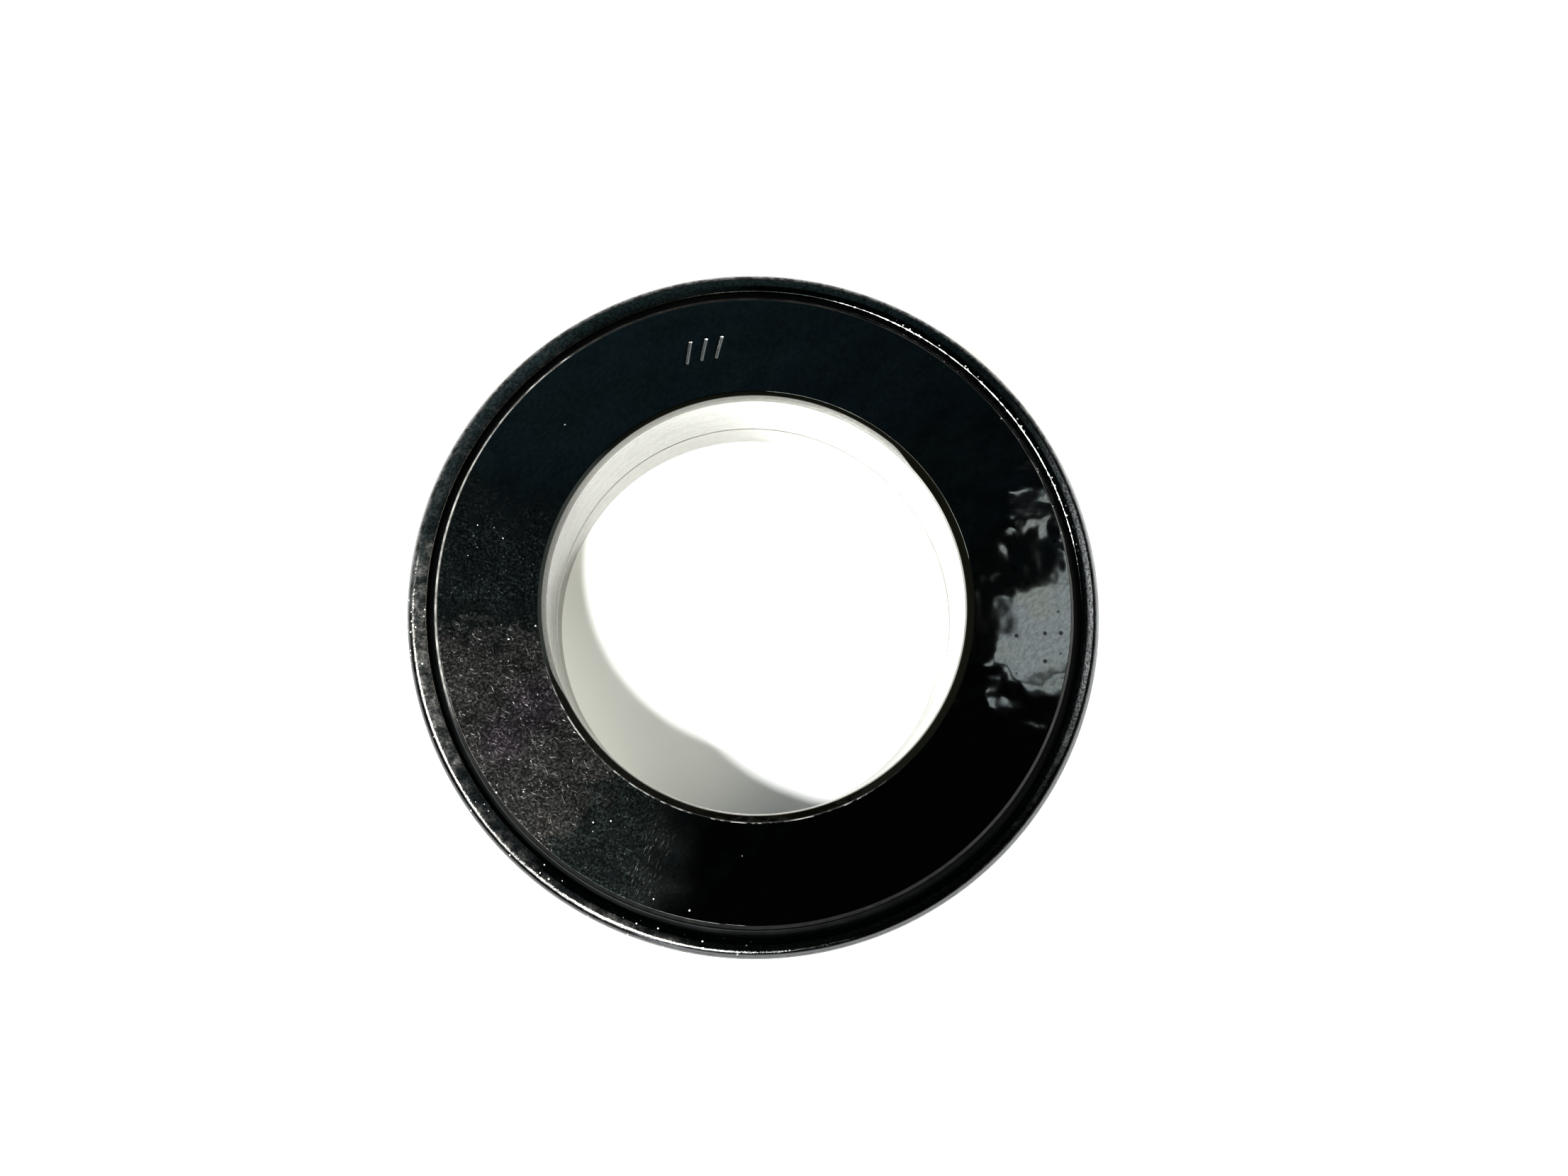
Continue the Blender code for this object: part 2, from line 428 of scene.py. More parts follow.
BURR_PAINTED_HIGHLIGHT = (0.45, 0.45, 0.43)
STAMPED = (0.5, 0.5, 0.47)
HANDLED_SECTOR = (8, 50, 5)
TOUCHED_SECTOR = (-12, 58, 26)
DUSTY_SECTOR = (-42, 84, 6)
NICKED_SECTOR = (66, 69, 2.5)
STROKED_SECTOR = (78, 92, 5)
CHAMFER_REFLECTION_SECTOR = (-96, 12, 12)
FLECK_GLINT_SECTOR = (-164, -126, 10)
WIDE_CORNER_SHADE_SECTOR = (-130, 18, 10)
CORNER_LIGHTER_SHADE_SECTOR = (-38, 12, 10)
BURR_HIGHLIGHT_SECTOR = (30, 112, 22)
SCRATCH_TURNS = (24, -52, 68, -12)

# The cover: an oiled lip, a smeared bend and a drawn wall, with painted light, shade, sheen and glints in
# sectors
LIP_OIL_AND_PAINTED_LIGHT = ((0.06, 0.066, 0.062), (0.088, 0.09, 0.076))
LIP_CLEAN = (0.085, 0.09, 0.09)
LIP_DRIED = (0.21, 0.198, 0.178)
LIP_PAINTED_SHADE = (0.006, 0.007, 0.007)
BEND = (0.16, 0.165, 0.165)
BEND_LINE_PAINTED_SHEEN = (0.3, 0.31, 0.33)
RIM = ((0.115, 0.12, 0.122), (0.165, 0.17, 0.172))
WALL = ((0.125, 0.13, 0.128), (0.152, 0.157, 0.154))
PAINTED_EDGE_GLINT = (0.7, 0.7, 0.66)
SPARK_PAINTED_GLINT = (0.9, 0.9, 0.84)
LIP_DRIED_SECTOR = (-4, 24, 12)
LIP_HAZY_SECTOR = (-46, 70, 16)
LIP_SHADE_SECTORS = ((-200, -92, 15), (54, 200, 12))
LIP_CLEAN_SECTORS = ((158, 200, 6), (-200, -155, 6))
LIP_PAINTED_LIGHT_SECTOR = (-105, 10, 15)
BEND_PAINTED_SHADE_SECTOR = (5, 118, 12)
BEND_GLINT_SHADE_SECTOR = (14, 54, 12)
BEND_SHEEN_SECTORS = ((76, 200, 8), (-200, -158, 8))
RIM_PAINTED_SHADE_SECTOR = (5, 165, 10)
EDGE_GLINT_SECTOR = (-166, -112, 9)
SPARK_GLINT_SECTORS = ((0, 20, 5), (38, 84, 8))
LIP_FLECK_GLINT_SECTOR = (-164, -120, 12)

# The pieces inside
CAGE_STEEL = ((0.43, 0.395, 0.34), (0.54, 0.5, 0.44))
CAGE_SCRATCH = (0.66, 0.64, 0.6)
BALL_STEEL = ((0.69, 0.69, 0.7), (0.75, 0.75, 0.76))


class Surface:
    """A metal Principled material and short calls for the nodes that feed it. Textures are in millimetres."""

    def __init__(self, name, colour, roughness):
        self.material = bpy.data.materials.new(name)
        self.material.use_nodes = True
        self.tree = self.material.node_tree
        self.shader = self.tree.nodes["Principled BSDF"]
        self.shader.inputs["Base Color"].default_value = (*colour, 1)
        self.shader.inputs["Roughness"].default_value = roughness
        self.shader.inputs["Metallic"].default_value = 1
        place = self.node("ShaderNodeTexCoord").outputs["Object"]
        self.place = self.scaled(place, 1 / MM)

    # Nodes and sockets

    def node(self, kind, **settings):
        made = self.tree.nodes.new(kind)
        for key, value in settings.items():
            setattr(made, key, value)
        return made

    def feed(self, socket, value):
        if isinstance(value, bpy.types.NodeSocket):
            self.tree.links.new(value, socket)
        else:
            socket.default_value = value

    def set(self, name, value):
        self.feed(self.shader.inputs[name], value)

    # Arithmetic

    def math(self, operation, a, b=0.0):
        made = self.node("ShaderNodeMath", operation=operation)
        self.feed(made.inputs[0], a)
        self.feed(made.inputs[1], b)
        return made.outputs[0]

    def vector(self, operation, a, b=(0, 0, 0)):
        made = self.node("ShaderNodeVectorMath", operation=operation)
        self.feed(made.inputs[0], a)
        self.feed(made.inputs[1], b)
        return made.outputs["Value"] if operation in ("LENGTH", "DOT_PRODUCT", "DISTANCE") else made.outputs[0]

    def scaled(self, vector, factor):
        made = self.node("ShaderNodeVectorMath", operation="SCALE")
        self.feed(made.inputs[0], vector)
        self.feed(made.inputs["Scale"], factor)
        return made.outputs[0]

    def joined(self, operation, values):
        result = values[0]
        for value in values[1:]:
            result = self.math(operation, result, value)
        return result

    def times(self, *values):
        return self.joined("MULTIPLY", values)

    def plus(self, *values):
        return self.joined("ADD", values)

    def most(self, *values):
        return self.joined("MAXIMUM", values)

    def ramp(self, value, low, high, to_low=0.0, to_high=1.0):
        """to_low at low and to_high at high, with an eased slope between and level outside."""
        made = self.node("ShaderNodeMapRange", interpolation_type="SMOOTHSTEP")
        for socket, number in zip(made.inputs, (value, low, high, to_low, to_high)):
            self.feed(socket, number)
        return made.outputs[0]

    def band(self, value, low, high, fade):
        """1 between low and high, falling to 0 over the fade outside them."""
        return self.times(self.ramp(value, low - fade, low), self.ramp(value, high, high + fade, 1, 0))

    def sectors(self, angle, sectors):
        return self.most(*[self.band(angle, *sector) for sector in sectors])

    def mix(self, factor, a, b):
        made = self.node("ShaderNodeMix", data_type="RGBA")
        self.feed(made.inputs[0], factor)
        for socket, colour in ((made.inputs[6], a), (made.inputs[7], b)):
            self.feed(socket, (*colour, 1) if isinstance(colour, tuple) else colour)
        return made.outputs[2]

    # Places on the piece

    def radius(self):
        return self.vector("LENGTH", self.vector("MULTIPLY", self.place, (1, 1, 0)))

    def height(self):
        return self.vector("DOT_PRODUCT", self.place, (0, 0, 1))

    def angle(self):
        """Degrees round the axis, counted anticlockwise from the -X side."""
        split = self.node("ShaderNodeSeparateXYZ")
        self.feed(split.inputs[0], self.scaled(self.place, -1))
        turn = self.math("ARCTAN2", split.outputs["Y"], split.outputs["X"])
        return self.times(turn, 180 / math.pi)

    def blob(self, x, y, radius, soft=0.5):
        """1 inside a round patch on the XY plane, fading to 0 over its outer part."""
        flat = self.vector("MULTIPLY", self.place, (1, 1, 0))
        distance = self.vector("DISTANCE", flat, (x, y, 0))
        return self.ramp(distance, radius * (1 - soft), radius, 1, 0)

    # Patterns

    def noise(self, scale, detail=2.0, roughness=0.5, stretch=None, turn=0.0):
        where = self.place
        if turn:
            rotate = self.node("ShaderNodeVectorRotate", rotation_type="Z_AXIS")
            self.feed(rotate.inputs["Vector"], where)
            rotate.inputs["Angle"].default_value = turn
            where = rotate.outputs[0]
        if stretch is not None:
            where = self.vector("MULTIPLY", where, stretch)
        made = self.node("ShaderNodeTexNoise")
        self.feed(made.inputs["Vector"], where)
        made.inputs["Scale"].default_value = scale
        made.inputs["Detail"].default_value = detail
        made.inputs["Roughness"].default_value = roughness
        return made.outputs["Fac"]

    def centred_noise(self, *settings):
        return self.math("SUBTRACT", self.noise(*settings), 0.5)

    def rings(self, scale, along_height=False):
        """Fine turning lines: noise that changes with the radius, or with the height on a bore."""
        made = self.node("ShaderNodeTexNoise", noise_dimensions="1D")
        self.feed(made.inputs["W"], self.height() if along_height else self.radius())
        made.inputs["Scale"].default_value = scale
        made.inputs["Detail"].default_value = 3.0
        return made.outputs["Fac"]

    def dots(self, scale, size, share):
        """Sparse round specks: a share of the cells hold one, each of about size times the cell."""
        made = self.node("ShaderNodeTexVoronoi")
        self.feed(made.inputs["Vector"], self.place)
        made.inputs["Scale"].default_value = scale
        chosen = self.math("LESS_THAN", self.vector("DOT_PRODUCT", made.outputs["Color"], (1, 0, 0)), share)
        return self.times(self.ramp(made.outputs["Distance"], size, size * 0.6), chosen)

    def scratches(self, degrees, low, high, length=0.3, width=8.0):
        """Thin straight lines in one direction, from noise that is stretched along them."""
        turn = math.radians(degrees)
        return self.ramp(self.noise(1, 2.0, 0.5, stretch=(length, width, 1), turn=turn), low, high)

    def bump(self, height, strength, distance, under=None):
        made = self.node("ShaderNodeBump")
        self.feed(made.inputs["Height"], height)
        made.inputs["Strength"].default_value = strength
        made.inputs["Distance"].default_value = distance
        if under is not None:
            self.feed(made.inputs["Normal"], under)
        return made.outputs[0]


def add_bore_steel(s, radius, colour, rough, reach):
    """Lays the ground bore wall, out to the radius it reaches, over a washer's colour and roughness, with
    painted shade in one sector and painted light elsewhere.
    """
    bore = s.ramp(radius, s.plus(reach, 0.1), reach)
    lines = s.rings(3.0, along_height=True)
    grain = s.noise(1, 3.0, 0.6, stretch=(1.5, 1.5, 6))
    steel = s.mix(s.ramp(lines, 0.3, 0.7), *BORE_STEEL)
    # Painted shade dims the steel in one sector and painted light brightens it in the rest
    steel = s.scaled(steel, s.ramp(s.band(s.angle(), *BORE_PAINTED_SHADE_SECTOR), 0, 1, *BORE_PAINTED_LIGHT_AND_SHADE))
    colour = s.mix(bore, colour, steel)
    bore_rough = s.ramp(s.plus(lines, grain), 0.6, 1.4, 0.22, 0.36)
    rough = s.most(rough, s.times(bore, bore_rough))
    return colour, rough


def shaft_ring_material():
    s = Surface("oiled_washer_steel", (0.045, 0.05, 0.05), 0.05)
    radius = s.radius()
    height = s.height()
    angle = s.angle()
    patchy = s.noise(0.9, 3.0, 0.6)

    # The oil's own tint, mottled
    tint = s.mix(s.ramp(s.noise(0.16, 3.0, 0.6), 0.4, 0.6), *OIL)
    mottle = s.noise(3.0, 4.0, 0.7, stretch=(1, 0.45, 1), turn=math.radians(40))
    colour = s.scaled(tint, s.ramp(mottle, 0.3, 0.7, 0.72, 1.25))
    pits = s.times(s.dots(0.62, 0.19, 0.34), s.blob(31, 0, 13, 0.3))
    colour = s.mix(pits, colour, PIT)

    # Handling haze where the oil has dried: fine grains and short scratches
    drift = s.plus(angle, s.times(s.centred_noise(0.25, 3.0, 0.6), 26))
    handled = s.band(drift, *HANDLED_SECTOR)
    touched = s.band(drift, *TOUCHED_SECTOR)
    cloud = s.ramp(s.noise(0.5, 4.0, 0.65), 0.3, 0.7, 0.65, 1.15)
    haze = s.times(s.most(handled, s.times(touched, 0.36)), cloud)
    grains = s.ramp(s.noise(3.6, 4.0, 0.75), 0.44, 0.68, 0.3, 2.6)
    first, *others = SCRATCH_TURNS
    lines = s.most(
        s.scratches(first, 0.66, 0.76, 0.8, 9),
        *[s.scratches(turn, 0.67, 0.77, 0.8, 9) for turn in others],
    )
    bloom = s.most(s.blob(-23.5, -11, 4.5, 0.8), s.blob(-26.6, -14.5, 4, 0.8))
    rub = s.mix(handled, HALF_DRIED, s.mix(bloom, DRIED, DRIED_PURPLE))
    rub = s.scaled(rub, s.plus(grains, s.times(lines, 2.6)))
    colour = s.mix(s.ramp(haze, 0, 0.33), colour, s.scaled(rub, haze))
    rough = s.ramp(haze, 0, 0.33, 0.05, 0.26)

    # Nicks, long faint strokes, and specks of dust and dried oil, nearly all on the handled side
    nicked = s.times(s.band(angle, *NICKED_SECTOR), s.band(radius, 26.5, 32, 1.5))
    nicks = s.times(nicked, s.scratches(-67, 0.62, 0.72, 0.9, 9))
    strokes = s.times(s.band(angle, *STROKED_SECTOR), s.scratches(4, 0.68, 0.78, 0.25, 5))
    nicks = s.most(nicks, s.times(strokes, 0.3))
    coarse = s.times(s.dots(1.1, 0.13, 0.13), s.band(angle, *DUSTY_SECTOR), s.ramp(patchy, 0.45, 0.55))
    fine = s.times(s.dots(2.8, 0.22, 0.12), s.ramp(haze, 0.1, 0.6, 0, 0.5))
    specks = s.most(coarse, fine, s.times(nicks, 0.5))
    colour = s.mix(specks, colour, SPECK)
    rough = s.most(rough, s.times(specks, 0.45))

    # The face's outer edge: a dark line, a chamfer with a painted reflection on one side, and painted shade that
    # blackens the recess below it
    upper = s.ramp(height, TOP_AT - 0.6, TOP_AT - 0.5)
    line = s.times(s.ramp(radius, FACE_EDGE_AT - 0.04, FACE_EDGE_AT + 0.02), upper)
    colour = s.mix(line, colour, EDGE_LINE)
    chamfer = s.times(s.ramp(radius, FACE_EDGE_AT + 0.08, FACE_EDGE_AT + 0.16), upper)
    # Painted reflection: the chamfer is bright only in the sector where it faces bright surroundings
    worn = s.plus(s.times(s.band(angle, *CHAMFER_REFLECTION_SECTOR), 0.34), 0.007)
    worn = s.times(worn, s.ramp(patchy, 0.3, 0.65, 0.5, 1.2))
    colour = s.mix(chamfer, colour, s.scaled(CHAMFER_PAINTED_REFLECTION, worn))
    # Painted shade: the washer's side below the chamfer, in the gap under the lip, is made black
    below = s.ramp(height, TOP_AT - 0.7, TOP_AT - 0.9)
    recess = s.times(below, s.ramp(radius, FACE_EDGE_AT - 0.1, FACE_EDGE_AT + 0.1))
    colour = s.mix(recess, colour, RECESS_PAINTED_SHADE)
    rough = s.most(rough, s.times(recess, 0.35))
    # Painted glints: bright metal flecks near the face's outer edge, placed only in the sector where glints fall
    glint_flecked = s.times(s.band(angle, *FLECK_GLINT_SECTOR), s.ramp(radius, FACE_EDGE_AT - 0.9, FACE_EDGE_AT + 0.1))
    glint_flecks = s.times(glint_flecked, s.dots(2.6, 0.28, 0.22), s.ramp(patchy, 0.42, 0.58))
    glint_flecks = s.times(glint_flecks, s.ramp(height, TOP_AT - 0.7, TOP_AT - 0.5))
    colour = s.mix(glint_flecks, colour, FLECK_GLINT)
    rough = s.most(rough, s.times(glint_flecks, 0.45))

    # The bore's rounded corner, darkened by painted shade, with a thin line of painted highlight along its upper
    # edge on one side
    # Painted shade: the corner is made dark, wider in one sector and less dark in another
    reach = s.plus(s.times(s.band(angle, *WIDE_CORNER_SHADE_SECTOR), 0.34), BORE_AT + 0.12)
    inside_edge = s.ramp(radius, BORE_EDGE_AT + 0.04, BORE_EDGE_AT - 0.02)
    corner = s.times(inside_edge, s.ramp(radius, reach, s.plus(reach, 0.05)))
    colour = s.mix(corner, colour, s.mix(s.band(angle, *CORNER_LIGHTER_SHADE_SECTOR), *BORE_CORNER_PAINTED_SHADE))
    # Painted highlight: a thin bright line along the corner's upper edge, in one sector only
    burr_highlight = s.times(s.band(radius, BORE_EDGE_AT - 0.02, BORE_EDGE_AT + 0.07, 0.04), s.band(angle, *BURR_HIGHLIGHT_SECTOR))
    burr_highlight = s.times(burr_highlight, s.ramp(patchy, 0.4, 0.6, 0.2, 1))
    colour = s.mix(burr_highlight, colour, BURR_PAINTED_HIGHLIGHT)
    rough = s.most(rough, s.times(burr_highlight, 0.4))

    # The stamp cuts through the oil
    stamp = s.times(s.ramp(height, TOP_AT - 0.015, TOP_AT - 0.04), s.band(radius, 27, 31, 0.1))
    colour = s.mix(stamp, colour, STAMPED)
    rough = s.most(rough, s.times(stamp, 0.2))

    colour, rough = add_bore_steel(s, radius, colour, rough, reach)
    s.set("Base Color", colour)
    s.set("Roughness", rough)
    # The oil film lies in soft waves, calmest where it is thickest
    calm = s.math("SUBTRACT", 1, s.times(s.blob(31.5, -3, 9, 0.6), 0.7))
    film = s.bump(s.times(s.centred_noise(0.2, 2.0, 0.35), calm), 0.6, 0.0003)
    s.set("Normal", s.bump(s.times(lines, haze), 0.3, 0.00003, film))
    return s.material


def housing_ring_material():
    plain = (0.5, 0.5, 0.48)
    s = Surface("ground_washer_steel", plain, 0.3)
    colour, rough = add_bore_steel(s, s.radius(), plain, 0.3, BORE_AT + 0.12)
    s.set("Base Color", colour)
    s.set("Roughness", s.most(rough, s.ramp(s.noise(1.2, 4.0, 0.6), 0.3, 0.7, 0.22, 0.4)))
    return s.material


def cover_material():
    s = Surface("oiled_cover_steel", (0.06, 0.065, 0.058), 0.07)
    radius = s.radius()
    height = s.height()
    angle = s.angle()
    smear = s.noise(0.9, 4.0, 0.6)
    grain = s.noise(4.0, 3.0, 0.7)
    drift = s.plus(angle, s.times(s.centred_noise(0.3, 3.0, 0.6), 24))
    below_bend = (COVER_TOP_AT - 0.6, COVER_TOP_AT - 0.9)

    # The lip: painted shade blackens its inner half outside the left side, and it has dried to a haze on one
    # side
    haze = s.most(s.band(drift, *LIP_DRIED_SECTOR), s.times(s.band(drift, *LIP_HAZY_SECTOR), 0.55))
    haze = s.times(haze, s.ramp(smear, 0.35, 0.65, 0.5, 1))
    # Painted shade: the lip's inner half is made near black outside the left side
    black = s.times(s.ramp(radius, OUTER_AT - 1.4, OUTER_AT - 1.55), s.sectors(angle, LIP_SHADE_SECTORS))
    # Painted light: the oiled lip takes its lighter copy on the upper-left side
    tint = s.mix(s.band(angle, *LIP_PAINTED_LIGHT_SECTOR), *LIP_OIL_AND_PAINTED_LIGHT)
    tint = s.mix(s.sectors(angle, LIP_CLEAN_SECTORS), tint, LIP_CLEAN)
    tint = s.mix(haze, tint, LIP_DRIED)
    tint = s.mix(black, tint, LIP_PAINTED_SHADE)
    colour = s.scaled(tint, s.ramp(grain, 0.34, 0.66, 0.4, 1.7))

    # The bend of the sheet: oiled near the lip and worn to bare steel on its outermost line, with painted shade
    # dimming the bend and that line on the front and left, and a line of painted sheen on the right and front
    smeared = s.ramp(s.noise(1.4, 3.0, 0.6), 0.42, 0.58, 0.35, 1.2)
    # Painted shade: the bend is dimmed on the front and left, and more where a glint falls
    bend_shade = s.math("SUBTRACT", 1, s.times(s.band(angle, *BEND_PAINTED_SHADE_SECTOR), 0.82))
    glint_shade = s.ramp(s.band(angle, *BEND_GLINT_SHADE_SECTOR), 0, 1, 1, 0.4)
    bend = s.scaled(BEND, s.times(smeared, bend_shade, glint_shade))
    colour = s.mix(s.ramp(radius, OUTER_AT - 0.85, OUTER_AT - 0.6), colour, bend)
    # Painted sheen: a brighter line along the bend on the right and front
    line = s.times(s.ramp(radius, OUTER_AT - 0.6, OUTER_AT - 0.54), s.sectors(angle, BEND_SHEEN_SECTORS))
    colour = s.mix(line, colour, BEND_LINE_PAINTED_SHEEN)
    rim = s.mix(s.ramp(smear, 0.3, 0.7), *RIM)
    # Painted shade: the outermost line is dimmed to half on the front and left
    rim = s.scaled(rim, s.ramp(s.band(angle, *RIM_PAINTED_SHADE_SECTOR), 0, 1, 1, 0.5))
    colour = s.mix(s.ramp(radius, OUTER_AT - 0.4, OUTER_AT - 0.28), colour, rim)

    # The wall: fine upright lines from drawing the sheet
    drawn = s.noise(1, 3.0, 0.6, stretch=(4, 4, 0.1))
    colour = s.mix(s.ramp(height, *below_bend), colour, s.mix(s.ramp(drawn, 0.3, 0.7), *WALL))

    # Painted glints: bright metal along the lip's inner edge on one side, and bright metal sparks and flecks in
    # the sectors where glints fall
    # Painted glint: bright metal along the lip's inner edge, in one sector only
    edge_glint = s.times(s.ramp(radius, LIP_AT + 0.18, LIP_AT + 0.13), s.band(angle, *EDGE_GLINT_SECTOR))
    edge_glint = s.times(edge_glint, s.ramp(s.noise(1.6, 3.0, 0.6), 0.45, 0.6, 0.05, 1))
    colour = s.mix(edge_glint, colour, PAINTED_EDGE_GLINT)
    # Painted glints: bright metal sparks and flecks, only in the sectors where glints fall on the lip
    spark_glints = s.times(s.sectors(angle, SPARK_GLINT_SECTORS), s.dots(2.2, 0.24, 0.2))
    glint_flecked = s.times(s.band(angle, *LIP_FLECK_GLINT_SECTOR), s.ramp(radius, LIP_AT + 0.7, LIP_AT + 0.3))
    glint_flecks = s.times(glint_flecked, s.dots(2.8, 0.34, 0.4), s.ramp(smear, 0.38, 0.5))
    spark_glints = s.times(s.most(spark_glints, glint_flecks), s.ramp(height, COVER_TOP_AT - 0.7, COVER_TOP_AT - 0.3))
    s.set("Base Color", s.mix(spark_glints, colour, SPARK_PAINTED_GLINT))

    rough = s.most(s.ramp(haze, 0, 1, 0.07, 0.26), s.ramp(height, *below_bend, 0, 0.28))
    s.set("Roughness", s.most(rough, s.times(spark_glints, 0.45)))
    dents = s.bump(s.noise(0.22, 1.0, 0.45), 0.6, 0.0001)
    s.set("Normal", s.bump(grain, 0.3, 0.00006, dents))
    return s.material


def cage_material():
    s = Surface("cage_sheet_steel", (0.5, 0.46, 0.4), 0.35)
    blotch = s.noise(0.8, 4.0)
    worn = s.most(s.scratches(35, 0.64, 0.74), s.scratches(-50, 0.66, 0.76))
    colour = s.mix(s.ramp(blotch, 0.35, 0.65), *CAGE_STEEL)
    s.set("Base Color", s.mix(s.times(worn, 0.5), colour, CAGE_SCRATCH))
    s.set("Roughness", s.ramp(blotch, 0.3, 0.7, 0.25, 0.45))
    s.set("Normal", s.bump(s.rings(2.5), 0.25, 0.00004))
    return s.material


def ball_material():
    s = Surface("ball_bearing_steel", (0.72, 0.72, 0.73), 0.06)
    tone = s.noise(0.6, 4.0)
    hairlines = s.most(s.scratches(20, 0.68, 0.78), s.scratches(-65, 0.7, 0.8))
    s.set("Base Color", s.mix(s.ramp(tone, 0.3, 0.7), *BALL_STEEL))
    s.set("Roughness", s.plus(s.ramp(tone, 0.3, 0.7, 0.04, 0.12), s.times(hairlines, 0.1)))
    s.set("Normal", s.bump(hairlines, 0.2, 0.00001))
    return s.material


# --- Stage -----------------------------------------------------------------------------------------------------

# The camera looks down from in front, close to the bearing's axis; its place is in outer radii
CAMERA_PLACE = (-0.131, -0.698, 4.680)
CAMERA_LOOK = (0.0485, 0.1727, -0.9838)
CAMERA_RIGHT = (0.9988, -0.0084, 0.0478)
LENS = 34.17
SENSOR_WIDTH = 36

FLOOR_RADIUS = 3
FLOOR_DROP = 0.02 * MM
FLOOR_COLOUR = (0.9, 0.9, 0.89)

# Suns shape the shadows and aren't mirrored: name, azimuth from +X towards +Y, elevation, spread in degrees,
# strength and colour
PLAIN = (1, 1, 1)
WARM = (1, 1, 0.86)
SUNS = (
    ("key_front_light", 252, 65, 4, 3.2, PLAIN),
    ("key_left_light", 187, 54.5, 4, 3.9, PLAIN),
    ("side_soft", 10, 42, 28, 1.6, WARM),
    ("low_fill", 24, 18, 16, 5.5, WARM),
)

# Soft boxes are only mirrored: name, azimuth, elevation, width and depth, and power
SOFT_BOX_DISTANCE = 0.6
SOFT_BOX_AIM = Vector((0, 0, 0.01))
SOFT_BOXES = (
    ("key_front", 251, 65, (0.16, 0.1), 3.6),
    ("key_left", 187, 54.5, (0.12, 0.12), 4.4),
    ("glint_strip", 222, 50, (0.3, 0.1), 8.0),
)

# Window cards that the oil mirrors on the right, the main panes first: their low and high corners
CARD_HEIGHT = 0.168
CARD_RADIANCE = 4.8
CARDS = (
    ((0.0575, 0.0105), (0.0755, 0.028)),
    ((0.066, 0.0285), (0.0755, 0.0405)),
    ((0.079, 0.0085), (0.087, 0.055)),
    ((0.06, 0.0455), (0.068, 0.0485)),
    ((0.053, 0.0075), (0.0562, 0.0115)),
    ((0.0615, 0.0065), (0.071, 0.009)),
)

# The room: pale at the horizon and dark overhead, with a cool glow high up behind on the left
ROOM_SLOPE = (0.15, 0.8, 1.05, 0.013)
ROOM_TINT = (1, 1, 0.97)
GLOW_HEIGHT = (0.72, 0.9, 0, 1)
GLOW_SIDE = (-0.6, 0.8, 0)
GLOW_SLOPE = (0, 0.4, 0, 0.26)
GLOW_TINT = (0.42, 0.79, 1)


def make_camera():
    data = bpy.data.cameras.new("camera")
    camera = bpy.data.objects.new("camera", data)
    bpy.context.scene.collection.objects.link(camera)
    data.sensor_width = SENSOR_WIDTH
    data.lens = LENS
    data.clip_start = 0.001
    look = Vector(CAMERA_LOOK).normalized()
    up = Vector(CAMERA_RIGHT).cross(look).normalized()
    right = look.cross(up)
    turn = Matrix((right, up, -look)).transposed().to_4x4()
    camera.matrix_world = Matrix.Translation(Vector(CAMERA_PLACE) * OUTER_RADIUS) @ turn
    bpy.context.scene.camera = camera


def make_floor():
    mesh = bpy.data.meshes.new("floor")
    shape = bmesh.new()
    bmesh.ops.create_circle(shape, cap_ends=True, segments=96, radius=FLOOR_RADIUS)
    shape.to_mesh(mesh)
    shape.free()
    floor = bpy.data.objects.new("floor", mesh)
    floor.location.z = -FLOOR_DROP
    bpy.context.scene.collection.objects.link(floor)
    material = bpy.data.materials.new("pale_floor")
    material.use_nodes = True
    shader = material.node_tree.nodes["Principled BSDF"]
    shader.inputs["Base Color"].default_value = (*FLOOR_COLOUR, 1)
    shader.inputs["Roughness"].default_value = 0.9
    shader.inputs["Specular IOR Level"].default_value = 0.1
    mesh.materials.append(material)


def make_world():
    world = bpy.data.worlds.new("studio")
    bpy.context.scene.world = world
    world.use_nodes = True
    tree = world.node_tree
    background = tree.nodes["Background"]
    direction = tree.nodes.new("ShaderNodeTexCoord").outputs["Generated"]

    def ramp(axis, slope):
        along = tree.nodes.new("ShaderNodeVectorMath")
        along.operation = "DOT_PRODUCT"
        along.inputs[1].default_value = axis
        tree.links.new(direction, along.inputs[0])
        made = tree.nodes.new("ShaderNodeMapRange")
        tree.links.new(along.outputs["Value"], made.inputs[0])
        for socket, number in zip(made.inputs[1:5], slope):
            socket.default_value = number
        return made.outputs[0]

    def tinted(value, colour):
        made = tree.nodes.new("ShaderNodeVectorMath")
        made.operation = "SCALE"
        made.inputs[0].default_value = colour
        tree.links.new(value, made.inputs["Scale"])
        return made.outputs[0]

    def combined(kind, operation, a, b):
        made = tree.nodes.new(kind)
        made.operation = operation
        tree.links.new(a, made.inputs[0])
        tree.links.new(b, made.inputs[1])
        return made.outputs[0]

    up = (0, 0, 1)
    room = tinted(ramp(up, ROOM_SLOPE), ROOM_TINT)
    glow = combined("ShaderNodeMath", "MULTIPLY", ramp(up, GLOW_HEIGHT), ramp(GLOW_SIDE, GLOW_SLOPE))
    total = combined("ShaderNodeVectorMath", "ADD", room, tinted(glow, GLOW_TINT))
    tree.links.new(total, background.inputs[0])


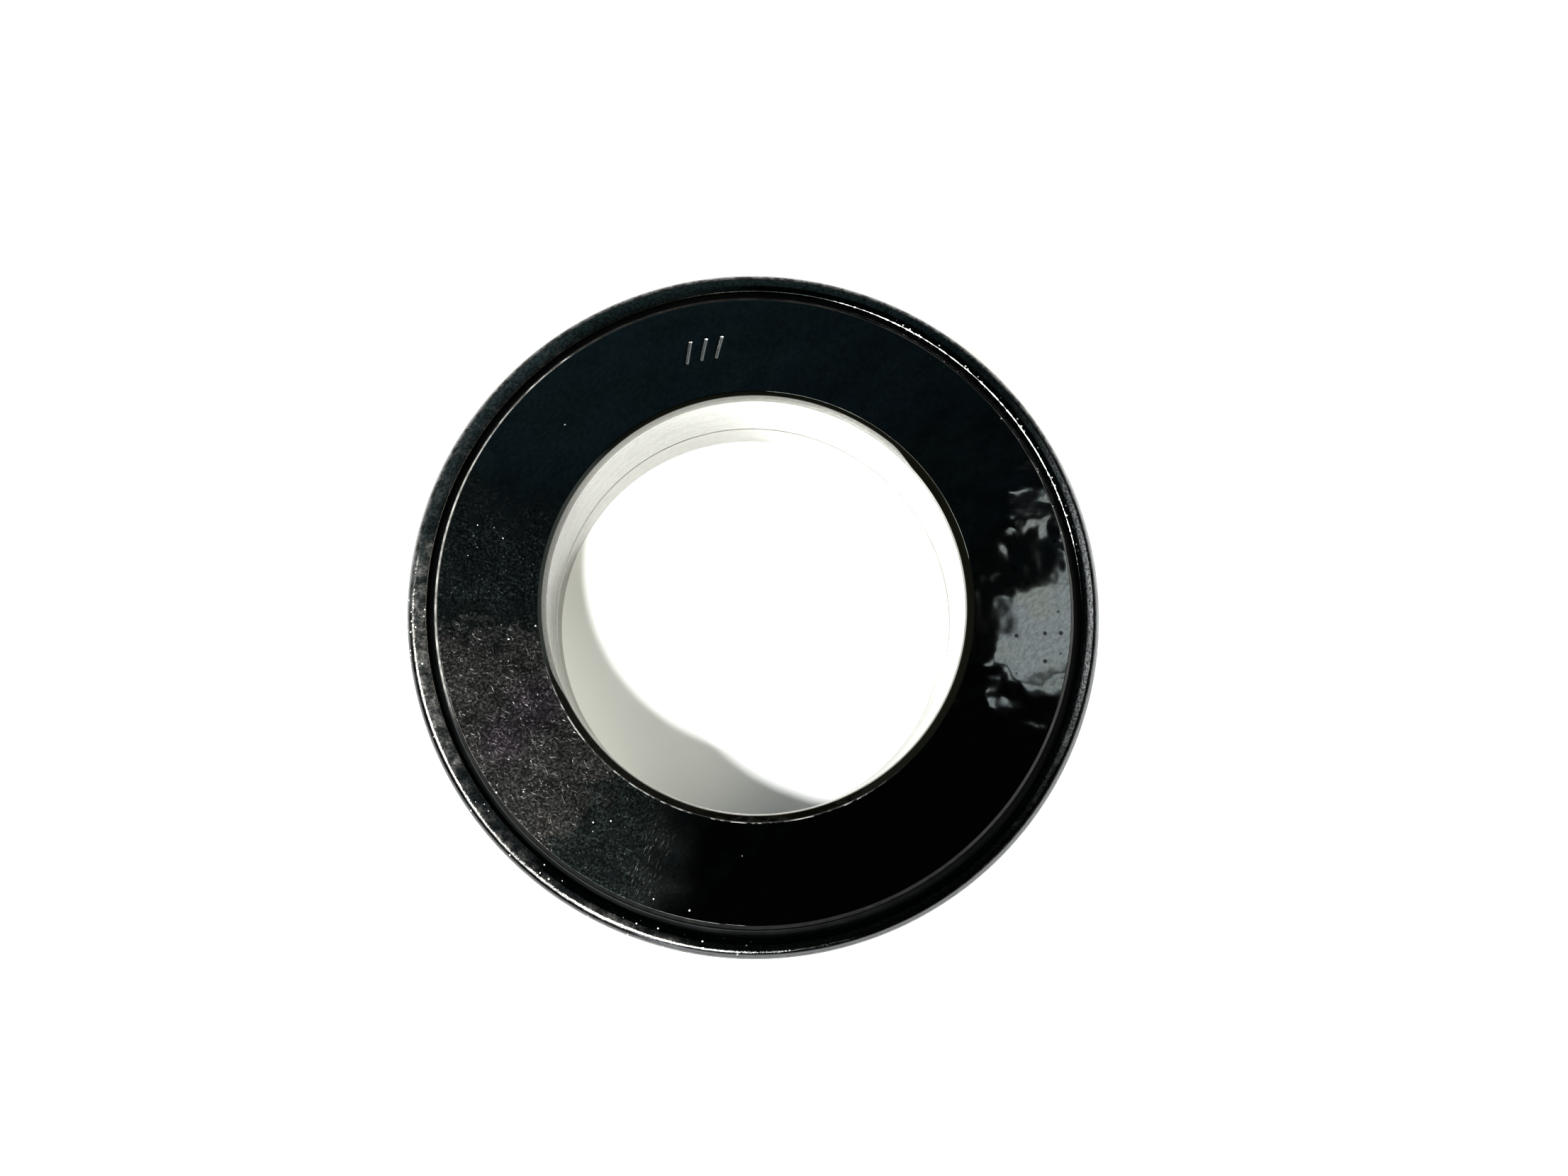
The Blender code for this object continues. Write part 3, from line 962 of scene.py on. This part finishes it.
def add_light(name, kind):
    light = bpy.data.objects.new(name, bpy.data.lights.new(name, kind))
    bpy.context.scene.collection.objects.link(light)
    return light


def aim_light(light, azimuth, elevation):
    """Turns a light to shine from a direction, and gives the vector towards where it shines from."""
    azimuth = math.radians(azimuth)
    elevation = math.radians(elevation)
    level = math.cos(elevation)
    out = Vector((math.cos(azimuth) * level, math.sin(azimuth) * level, math.sin(elevation)))
    light.rotation_mode = "QUATERNION"
    light.rotation_quaternion = (-out).to_track_quat("-Z", "Y")
    return out


def add_mirrored_light(name, width, depth, power):
    """A rectangular light that is seen only in reflections. It faces straight down until it is aimed."""
    light = add_light(name, "AREA")
    light.data.shape = "RECTANGLE"
    light.data.size = width
    light.data.size_y = depth
    light.data.energy = power
    light.visible_diffuse = False
    return light


def make_lights():
    for name, azimuth, elevation, spread, strength, colour in SUNS:
        light = add_light(name, "SUN")
        aim_light(light, azimuth, elevation)
        light.data.energy = strength
        light.data.angle = math.radians(spread)
        light.data.color = colour
        light.visible_glossy = False
    for name, azimuth, elevation, (width, depth), power in SOFT_BOXES:
        light = add_mirrored_light(name, width, depth, power)
        light.location = SOFT_BOX_AIM + aim_light(light, azimuth, elevation) * SOFT_BOX_DISTANCE
    for index, (low, high) in enumerate(CARDS):
        width = high[0] - low[0]
        depth = high[1] - low[1]
        power = CARD_RADIANCE * math.pi * width * depth
        light = add_mirrored_light(f"window_card_{index}", width, depth, power)
        light.location = ((low[0] + high[0]) / 2, (low[1] + high[1]) / 2, CARD_HEIGHT)


def dress(obj, body, material):
    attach(obj, body)
    obj.data.materials.clear()
    obj.data.materials.append(material)


def main():
    bpy.context.scene.view_settings.view_transform = "Standard"
    make_camera()
    make_world()
    make_lights()
    make_floor()
    dress(make_shaft_ring(), "shaft_ring", shaft_ring_material())
    dress(make_housing_ring(), "housing", housing_ring_material())
    dress(make_cover_shell(), "housing", cover_material())
    dress(make_cage_ring(), "cage", cage_material())
    ball_steel = ball_material()
    for node, ball in zip(BALL_NODES, make_balls()):
        dress(ball, f"{node}_body", ball_steel)


main()
